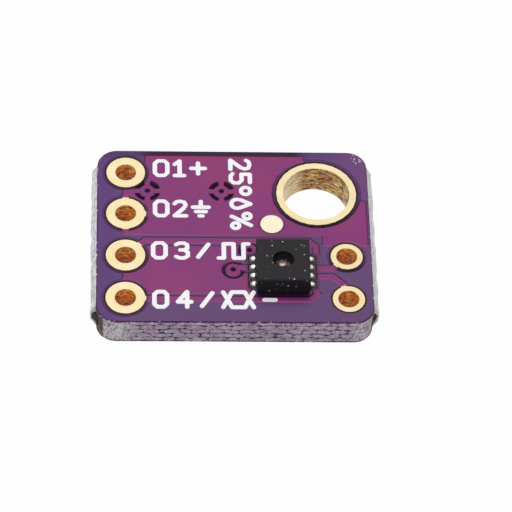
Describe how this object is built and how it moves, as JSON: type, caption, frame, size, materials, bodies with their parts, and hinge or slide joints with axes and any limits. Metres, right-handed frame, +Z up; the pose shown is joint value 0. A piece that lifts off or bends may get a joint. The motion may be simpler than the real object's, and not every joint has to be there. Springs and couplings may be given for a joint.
{
  "type": "temperature humidity sensor module",
  "caption": "Small two-layer circuit board carrying a square temperature and humidity sensor with a round opening, a row of plated pin holes and a mounting hole.",
  "frame": {"origin": "middle of the footprint on the plane of the lower chip parts' lowest faces, on which the board rests", "axes": "+X from the row of four holes to the pair of holes, +Y from the sensor's edge to the mounting hole's edge, +Z up out of the sensor's face"},
  "size_m": [0.0136, 0.0104, 0.003],
  "materials": {
    "board_laminate": "glass cloth and resin, torn fibres at the snapped edges",
    "solder_mask": "satin purple solder mask",
    "legend_ink": "white printed ink",
    "copper_foil": "etched copper under the mask",
    "gold_plating": "thin pale gold plating",
    "solder": "bright solder",
    "lead_metal": "tinned lead frame",
    "package_mould": "charcoal moulding compound",
    "sensor_silicon": "polished silicon and polymer film",
    "chip_metal": "tinned chip ends",
    "capacitor_ceramic": "fired tan ceramic",
    "resistor_ceramic": "white ceramic with a dark glazed face"
  },
  "bodies": {
    "root": {"address_track": "copper_foil", "alert_track": "copper_foil", "capacitor_body": "capacitor_ceramic", "capacitor_solder": "solder", "capacitor_terminals": "chip_metal", "clock_resistor_body": "resistor_ceramic", "clock_resistor_solder": "solder", "clock_resistor_terminals": "chip_metal", "clock_track": "copper_foil", "data_resistor_body": "resistor_ceramic", "data_resistor_solder": "solder", "data_resistor_terminals": "chip_metal", "data_track": "copper_foil", "die_pad_solder": "solder", "fr4_core": "board_laminate", "ground_via_1": "copper_foil", "ground_via_2": "copper_foil", "header_hole_1": "gold_plating", "header_hole_2": "gold_plating", "header_hole_3": "gold_plating", "header_hole_4": "gold_plating", "low_clock_track": "copper_foil", "low_data_track": "copper_foil", "low_ground_pour": "copper_foil", "low_reset_track": "copper_foil", "low_solder_mask": "solder_mask", "low_supply_track": "copper_foil", "mounting_eyelet": "gold_plating", "reset_resistor_body": "resistor_ceramic", "reset_resistor_solder": "solder", "reset_resistor_terminals": "chip_metal", "reset_track": "copper_foil", "reset_via": "copper_foil", "sensor_body": "package_mould", "sensor_die": "sensor_silicon", "sensor_die_pad": "lead_metal", "sensor_ground_pour": "copper_foil", "sensor_lead_1": "lead_metal", "sensor_lead_2": "lead_metal", "sensor_lead_3": "lead_metal", "sensor_lead_4": "lead_metal", "sensor_lead_5": "lead_metal", "sensor_lead_6": "lead_metal", "sensor_lead_7": "lead_metal", "sensor_lead_8": "lead_metal", "sensor_solder": "solder", "side_hole_1": "gold_plating", "side_hole_2": "gold_plating", "supply_track": "copper_foil", "supply_via": "copper_foil", "top_ground_pour": "copper_foil", "top_solder_mask": "solder_mask"}
  },
  "joints": []
}
